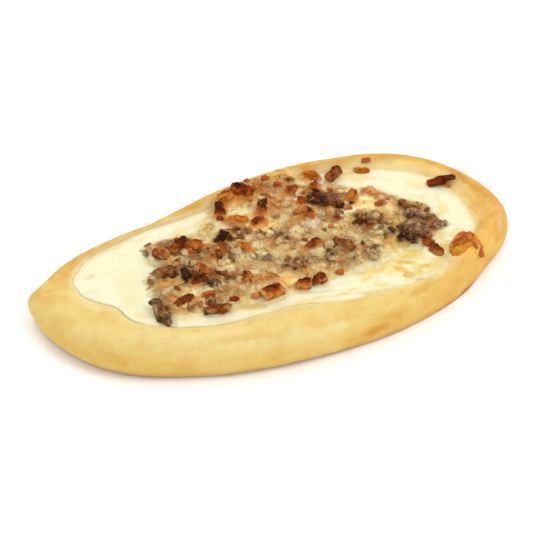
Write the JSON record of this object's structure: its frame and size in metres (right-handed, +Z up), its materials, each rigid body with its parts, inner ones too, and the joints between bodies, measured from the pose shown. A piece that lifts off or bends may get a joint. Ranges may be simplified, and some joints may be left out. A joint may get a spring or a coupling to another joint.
{
  "type": "fougasse",
  "caption": "Boat-shaped flat bread with a raised rim, filled with cream and topped with melted cheese, diced bacon and mushroom slices.",
  "frame": {"origin": "centre of the footprint, on the table", "axes": "+X from the pointed end to the round end, +Z up"},
  "size_m": [0.24, 0.1218, 0.0294],
  "materials": {
    "crust": "soft satin crust",
    "cream": "soft satin",
    "melted_cheese": "glossy, oily",
    "bacon": "glossy, browned",
    "mushroom": "moist satin"
  },
  "bodies": {
    "root": {"bacon_01": "bacon", "bacon_02": "bacon", "bacon_03": "bacon", "bacon_04": "bacon", "bacon_05": "bacon", "bacon_06": "bacon", "bacon_07": "bacon", "bacon_08": "bacon", "bacon_09": "bacon", "bacon_10": "bacon", "bacon_11": "bacon", "bacon_12": "bacon", "bacon_13": "bacon", "bacon_14": "bacon", "bacon_15": "bacon", "bacon_16": "bacon", "bacon_17": "bacon", "bacon_18": "bacon", "bacon_19": "bacon", "bacon_20": "bacon", "bacon_21": "bacon", "bacon_22": "bacon", "bacon_23": "bacon", "bacon_24": "bacon", "bacon_25": "bacon", "bacon_26": "bacon", "bacon_27": "bacon", "bacon_28": "bacon", "bacon_29": "bacon", "bacon_30": "bacon", "bacon_31": "bacon", "bacon_32": "bacon", "bacon_33": "bacon", "bacon_34": "bacon", "bacon_35": "bacon", "bread": "crust", "cream": "cream", "melted_cheese": "melted_cheese", "mushroom_01": "mushroom", "mushroom_02": "mushroom", "mushroom_03": "mushroom", "mushroom_04": "mushroom", "mushroom_05": "mushroom", "mushroom_06": "mushroom", "mushroom_07": "mushroom", "mushroom_08": "mushroom", "mushroom_09": "mushroom", "mushroom_10": "mushroom", "mushroom_11": "mushroom", "mushroom_12": "mushroom", "mushroom_13": "mushroom", "mushroom_14": "mushroom", "mushroom_15": "mushroom", "mushroom_16": "mushroom", "mushroom_17": "mushroom"}
  },
  "joints": []
}
